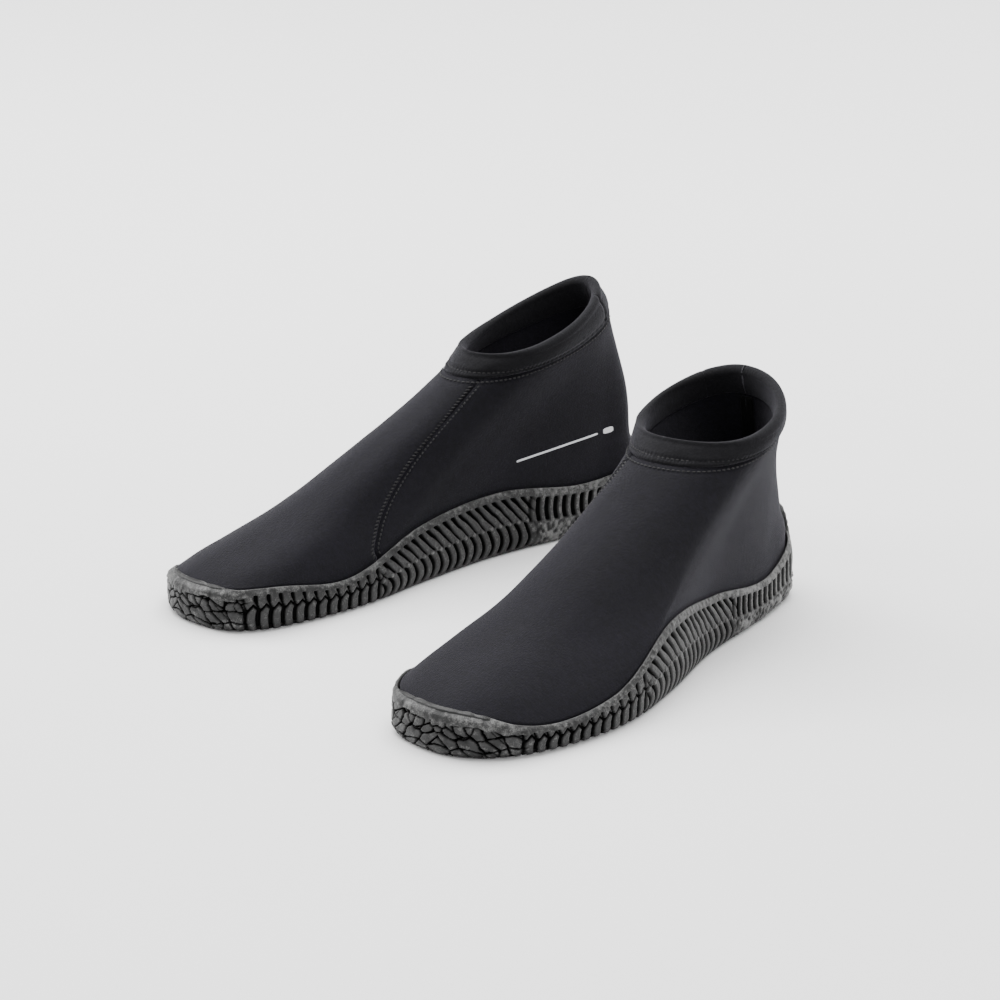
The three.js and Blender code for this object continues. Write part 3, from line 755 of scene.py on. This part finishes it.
def step_around(u, r, length, stance):
    """Change of u that moves a point of the upper by a length in millimetres."""
    ahead = upper_at(u + 0.01, r, stance)
    reach = np.linalg.norm(ahead - upper_at(u - 0.01, r, stance), axis=-1)
    return length * 0.02 / reach


def softness(points):
    """Slight unevenness of a soft sheet, in millimetres."""
    x, y, z = points[..., 0], points[..., 1], points[..., 2]
    broad = soft_noise(y / 34 + 7, (z + x) / 30, 41)
    fine = soft_noise(y / 13 + 3, (z - x) / 12, 42)
    return 0.35 * broad + 0.1 * fine


def make_panel(side, name, node, start_u, end_u, columns):
    """Sheet between two lines up the boot, finer towards its edges and drawn in at its seams."""
    stance = BOOTS[side]["stance"]
    skirt = np.linspace(-1, 0, PANEL_SKIRT_ROWS, endpoint=False)
    r = np.concatenate([skirt, np.linspace(0, PANEL_TOP, PANEL_ROWS)])
    share = 0.5 - 0.5 * np.cos(math.pi * (0.12 + 0.76 * np.linspace(0, 1, columns)))
    share = (share - share[0]) / (share[-1] - share[0])
    u = start_u(r)[None, :] + (end_u(r) - start_u(r))[None, :] * share[:, None]
    rr = np.broadcast_to(r[None, :], u.shape)
    here = upper_at(u, rr, stance)
    from_start = np.linalg.norm(here - here[:1], axis=-1)
    from_end = np.linalg.norm(here - here[-1:], axis=-1)
    edge = np.minimum(from_start, from_end)
    dip = SEAM_DIP * (1 - smoothstep(0, SEAM_DIP_WIDTH, edge))
    under_band = 0.9 * smoothstep(0.875, 0.9, rr)
    collar_row = STITCH_DIP * np.exp(-((rr - LOWER_STITCH_R) / 0.006) ** 2)
    seam_row = STITCH_DIP * np.exp(-((edge - SEAM_STITCH_FROM_EDGE) / 0.6) ** 2)
    uneven = np.where(rr > 0, softness(here) * smoothstep(0, 0.08, rr), 0)
    outside = off_upper(u, rr, uneven - dip - under_band - collar_row - seam_row, stance)
    inside = off_upper(u, rr, -NEOPRENE + 0.5 * dip, stance)
    loops = np.concatenate([outside, inside[:, ::-1]], axis=1)
    uv = np.concatenate([grid_uv(outside), grid_uv(inside)[:, ::-1]], axis=1)
    quads = capped_quads(columns, loops.shape[1])
    return add_piece(side, name, loops, quads, NEOPRENE_CLOTH, [node], uv=uv)


def beside(at_u, length, side):
    """A line up the boot that runs a length in millimetres beside another."""
    return lambda r: at_u(r) + step_around(at_u(r), r, length, BOOTS[side]["stance"])


def heel_u(r):
    return 0 * r


def once_around_u(r):
    return 1 + 0 * r


def make_vamp(side):
    return make_panel(side, "vamp_sheet", "vamp_panel", beside(heel_u, SEAM_HALF_GAP, side),
                      beside(seam_u, -SEAM_HALF_GAP, side), 230)


def make_quarter(side):
    return make_panel(side, "quarter_sheet", "quarter_panel", beside(seam_u, SEAM_HALF_GAP, side),
                      beside(once_around_u, -SEAM_HALF_GAP, side), 120)


def make_binding(side):
    """Stretch band folded over the top edge, plump at the rim and pinched by its stitching."""
    stance = BOOTS[side]["stance"]
    columns = 420
    along = np.linspace(0, 1, columns)[:, None]
    q = np.linspace(0, 1, 22)
    uu, rr = np.meshgrid(np.mod(BAND_JOIN_U + along[:, 0], 1), BAND_FOOT + (1 - BAND_FOOT) * q,
                         indexing="ij")
    plump = np.sin(math.pi * np.clip(q * 1.1, 0, 1))
    outer = 0.5 + 0.75 * plump ** 0.8 - 0.55 * np.exp(-((rr[0] - UPPER_STITCH_R) / 0.008) ** 2)
    inner = -NEOPRENE - 0.5 - 0.5 * plump
    outer[0] -= 0.5
    inner[0] += 0.5
    pucker = 0.14 * np.sin(uu * 2 * math.pi * BAND_PUCKERS) * np.exp(-((rr - 0.91) / 0.02) ** 2)
    drape = 0.35 * soft_noise(along * 18 + 0 * rr, rr * 22, 51)
    from_join = np.minimum(along, 1 - along)
    join = 0.45 * np.exp(-(from_join * 36.0) ** 2) - 0.7 * np.exp(-(from_join * 280.0) ** 2)
    outside = off_upper(uu, rr, outer[None, :] + pucker + drape + join, stance)
    inside = off_upper(uu, rr, inner[None, :] - 0.3 * pucker + 0.3 * drape, stance)
    middle, radius = (outside[:, -1] + inside[:, -1]) / 2, (outside[:, -1] - inside[:, -1]) / 2
    rim = [middle + radius * math.cos(a) + [0, 0, RIM_ROUND * math.sin(a)]
           for a in np.linspace(0, math.pi, 12)[1:-1]]
    loops = np.concatenate([outside, np.stack(rim, axis=1), inside[:, ::-1]], axis=1)
    quads = capped_quads(columns, loops.shape[1])
    return add_piece(side, "collar_band", loops, quads, BINDING_CLOTH, ["collar_binding"],
                     uv=grid_uv(loops))


# ---- stitching -------------------------------------------------------------------------------
def ellipsoid():
    """Unit sphere of quads with its poles along X, each closed by a small cap."""
    rings, sides = 7, 8
    a = np.linspace(0.02, math.pi - 0.02, rings)
    b = np.arange(sides) / sides * 2 * math.pi
    x = np.repeat(-np.cos(a)[:, None], sides, 1)
    y = np.sin(a)[:, None] * np.cos(b)
    z = np.sin(a)[:, None] * np.sin(b)
    return np.stack([x, y, z], -1).reshape(-1, 3), capped_quads(rings, sides)


def stitches(side, name, node, centres, runs, normals, size):
    """One short thread body per centre, lying along its run; size is length, width and height."""
    shape, faces = ellipsoid()
    run = runs / np.linalg.norm(runs, axis=-1, keepdims=True)
    normal = normals - (normals * run).sum(-1, keepdims=True) * run
    normal /= np.linalg.norm(normal, axis=-1, keepdims=True)
    across = np.cross(normal, run)
    axes = np.stack([run * size[0] / 2, across * size[1] / 2, normal * size[2] / 2], axis=1)
    points = centres[:, None, :] + np.einsum("kc,ncd->nkd", shape, axes)
    quads = (faces[None] + (np.arange(len(centres)) * len(shape))[:, None, None]).reshape(-1, 4)
    return add_piece(side, name, points, quads, THREAD, [node])


def even_steps(points, pitch, closed):
    """Parameter values 0..1 along a dense polyline, evenly spaced by about one pitch."""
    length = np.concatenate([[0], np.cumsum(np.linalg.norm(np.diff(points, axis=0), axis=1))])
    count = max(2, round(length[-1] / pitch))
    wanted = (np.arange(count) + (0 if closed else 0.5)) / count * length[-1]
    return np.interp(wanted, length, np.linspace(0, 1, len(points)))


def make_collar_stitches(side):
    stance = BOOTS[side]["stance"]
    rows = [("collar_thread_upper", "collar_stitch_upper", UPPER_STITCH_R, 0.35),
            ("collar_thread_lower", "collar_stitch_lower", LOWER_STITCH_R, 0.05)]
    for name, node, r, height in rows:
        u = even_steps(upper_at(np.linspace(0, 1, 1500), r, stance), 2.5, True)
        centres = off_upper(u, r, height + 0 * u, stance)
        runs = upper_at(u + 0.002, r, stance) - upper_at(u - 0.002, r, stance)
        stitches(side, name, node, centres, runs, upper_normal(u, r + 0 * u, stance), (1.8, 0.85, 0.8))


# Piece, node, line, offset from the line, pitch, slant and size of each stitch, height.
SEAM_ROWS = [
    ("side_thread_front", "side_seam_stitch_front", seam_u, -2.2, 2.2, 0.75, (2.5, 0.8, 0.8), -0.2),
    ("side_thread_rear", "side_seam_stitch_rear", seam_u, 2.2, 2.4, 0.0, (1.7, 0.8, 0.8), -0.2),
    ("heel_thread", "heel_seam_stitch", heel_u, 0.0, 2.2, 0.9, (3.0, 0.8, 0.8), -0.5),
]


def make_seam_stitches(side):
    stance = BOOTS[side]["stance"]
    dense = np.linspace(0.012, 0.866, 900)
    for name, node, at_u, offset, pitch, slant, size, height in SEAM_ROWS:
        line = upper_at(beside(at_u, offset, side)(dense), dense, stance)
        r = np.interp(even_steps(line, pitch, False), np.linspace(0, 1, len(dense)), dense)
        u = beside(at_u, offset, side)(r)
        aside = u - at_u(r)
        runs = (upper_at(at_u(r + 0.004) + aside, r + 0.004, stance)
                - upper_at(at_u(r - 0.004) + aside, r - 0.004, stance))
        runs /= np.linalg.norm(runs, axis=-1, keepdims=True)
        normals = upper_normal(u, r, stance)
        turned = runs * math.cos(slant) + np.cross(normals, runs) * math.sin(slant)
        stitches(side, name, node, off_upper(u, r, height + 0 * u, stance), turned, normals, size)


TAPE_HALF_WIDTH = 4.5


def make_tapes(side):
    """Knitted tapes over the seams on the inside."""
    stance = BOOTS[side]["stance"]
    tapes = [("side_tape", "side_seam_tape", seam_u), ("heel_tape", "heel_seam_tape", heel_u)]
    for name, node, at_u in tapes:
        r = np.linspace(0.06, 0.885, 60)
        across = np.linspace(-1, 1, 9)[None, :]
        u = at_u(r)[:, None] + step_around(at_u(r), r, TAPE_HALF_WIDTH, stance)[:, None] * across
        rr = np.broadcast_to(r[:, None], u.shape)
        low = off_upper(u, rr, -NEOPRENE - 0.35 + 0 * u, stance)
        high = off_upper(u, rr, -NEOPRENE - 0.75 - 0.25 * (1 - across ** 4) + 0 * u, stance)
        loops = np.concatenate([low, high[:, ::-1]], axis=1)
        quads = capped_quads(len(r), loops.shape[1])
        add_piece(side, name, loops, quads, LINING_CLOTH, [node], uv=grid_uv(loops))


# ---- printed mark ----------------------------------------------------------------------------
MARK_SPAN = (54.0, 121.0)
MARK_HEIGHT = (49.0, 53.7)
DASH_HALF_WIDTH = 0.55
BLOCK_HALF_WIDTH = 1.5


def find_on_outer_side(y, z, stance):
    """The (u, r) on the outer side where the upper passes each y and z, found by halving."""
    r_low, r_high = np.full_like(y, 0.02), np.full_like(y, 0.85)
    for _ in range(26):
        r = (r_low + r_high) / 2
        front, back = np.full_like(y, 0.5), np.full_like(y, 1.0)
        for _ in range(26):
            u = (front + back) / 2
            ahead = upper_at(u, r, stance)[..., 1] < y
            front, back = np.where(ahead, u, front), np.where(ahead, back, u)
        below = upper_at(u, r, stance)[..., 2] < z
        r_low, r_high = np.where(below, r, r_low), np.where(below, r_high, r)
    return u, r


def make_side_mark(side):
    """A pale dash that rises a little towards the heel, and a small block behind it."""
    stance = BOOTS[side]["stance"]
    length = MARK_SPAN[1] - MARK_SPAN[0]
    strokes = [("side_dash", 0.0, 0.84, DASH_HALF_WIDTH), ("side_block", 0.9, 1.0, BLOCK_HALF_WIDTH)]
    for name, start, end, half in strokes:
        share = np.linspace(start, end, 70)
        across = np.linspace(-1, 1, 6)
        ends = np.clip(np.minimum(share - start, end - share) * length / half, 0, 1)
        yy = np.repeat((MARK_SPAN[0] + length * share)[:, None], 6, 1)
        middle = MARK_HEIGHT[0] + (MARK_HEIGHT[1] - MARK_HEIGHT[0]) * share[:, None]
        zz = middle + half * np.sqrt(0.4 + 0.6 * ends)[:, None] * across[None, :]
        u, r = find_on_outer_side(yy, zz, stance)
        here = upper_at(u, r, stance)
        low = off_upper(u, r, softness(here) - 0.05, stance)
        high = off_upper(u, r, softness(here) + 0.12, stance)
        loops = np.concatenate([low, high[:, ::-1]], axis=1)
        quads = capped_quads(70, 12)
        add_piece(side, name, loops, quads, MARK, ["side_mark"])


# ---- studio ----------------------------------------------------------------------------------
CAMERA_AZIMUTH = math.radians(43.85)
CAMERA_ELEVATION = math.radians(19.06)
CAMERA_DISTANCE = 2.0317
CAMERA_LENS = 132.61
CAMERA_TARGET = (-0.11982, 0.11883, 0.0)
LIGHT_TARGET = (0, 0, 0.05)
WORLD_STRENGTH = 0.6
# Name, place as right, up and back from the camera's side, side length in metres, watts.
SOFTBOXES = [
    ("top_softbox", (-0.2, 2.2, -0.7), 2.6, 150),
    ("right_softbox", (1.9, 1.2, -1.6), 2.2, 42),
    ("left_softbox", (-2.0, 1.1, -0.9), 1.2, 45),
    ("front_fill", (0.6, 1.8, 2.4), 1.6, 24),
]


def aim(obj, target):
    direction = Vector(target) - obj.location
    obj.rotation_euler = direction.to_track_quat("-Z", "Y").to_euler()


def make_camera():
    data = bpy.data.cameras.new("camera")
    data.lens = CAMERA_LENS
    data.sensor_width = 36
    data.clip_end = 50
    camera = bpy.data.objects.new("camera", data)
    bpy.context.scene.collection.objects.link(camera)
    back = (math.sin(CAMERA_AZIMUTH) * math.cos(CAMERA_ELEVATION),
            -math.cos(CAMERA_AZIMUTH) * math.cos(CAMERA_ELEVATION), math.sin(CAMERA_ELEVATION))
    camera.location = [t + CAMERA_DISTANCE * b for t, b in zip(CAMERA_TARGET, back)]
    aim(camera, CAMERA_TARGET)
    bpy.context.scene.camera = camera


def from_camera(right, up, back):
    """A place given from the object's middle, as the camera sees it, in metres."""
    s, c = math.sin(CAMERA_AZIMUTH), math.cos(CAMERA_AZIMUTH)
    return (right * c + back * s, right * s - back * c, up)


def area_light(name, at, size, power):
    """Square softbox, its side in metres, aimed at the boots."""
    data = bpy.data.lights.new(name, "AREA")
    data.shape = "RECTANGLE"
    data.size = data.size_y = size
    data.energy = power
    light = bpy.data.objects.new(name, data)
    bpy.context.scene.collection.objects.link(light)
    light.location = from_camera(*at)
    aim(light, LIGHT_TARGET)


def make_studio():
    mesh = bpy.data.meshes.new("floor")
    mesh.from_pydata([(-9, -9, 0), (9, -9, 0), (9, 9, 0), (-9, 9, 0)], [], [(0, 1, 2, 3)])
    mesh.materials.append(floor_material())
    floor = bpy.data.objects.new("floor", mesh)
    bpy.context.scene.collection.objects.link(floor)
    world = bpy.data.worlds.new("studio")
    bpy.context.scene.world = world
    world.use_nodes = True
    background = world.node_tree.nodes["Background"]
    background.inputs["Color"].default_value = (1, 1, 1, 1)
    background.inputs["Strength"].default_value = WORLD_STRENGTH
    for light in SOFTBOXES:
        area_light(*light)


MAKERS = [make_outsole, make_rand, make_heel_strap_stop, make_bottom_sock, make_footbed, make_vamp,
          make_quarter, make_binding, make_collar_stitches, make_seam_stitches, make_tapes,
          make_side_mark]

make_camera()
make_studio()
for boot_side in BOOTS:
    for make in MAKERS:
        make(boot_side)
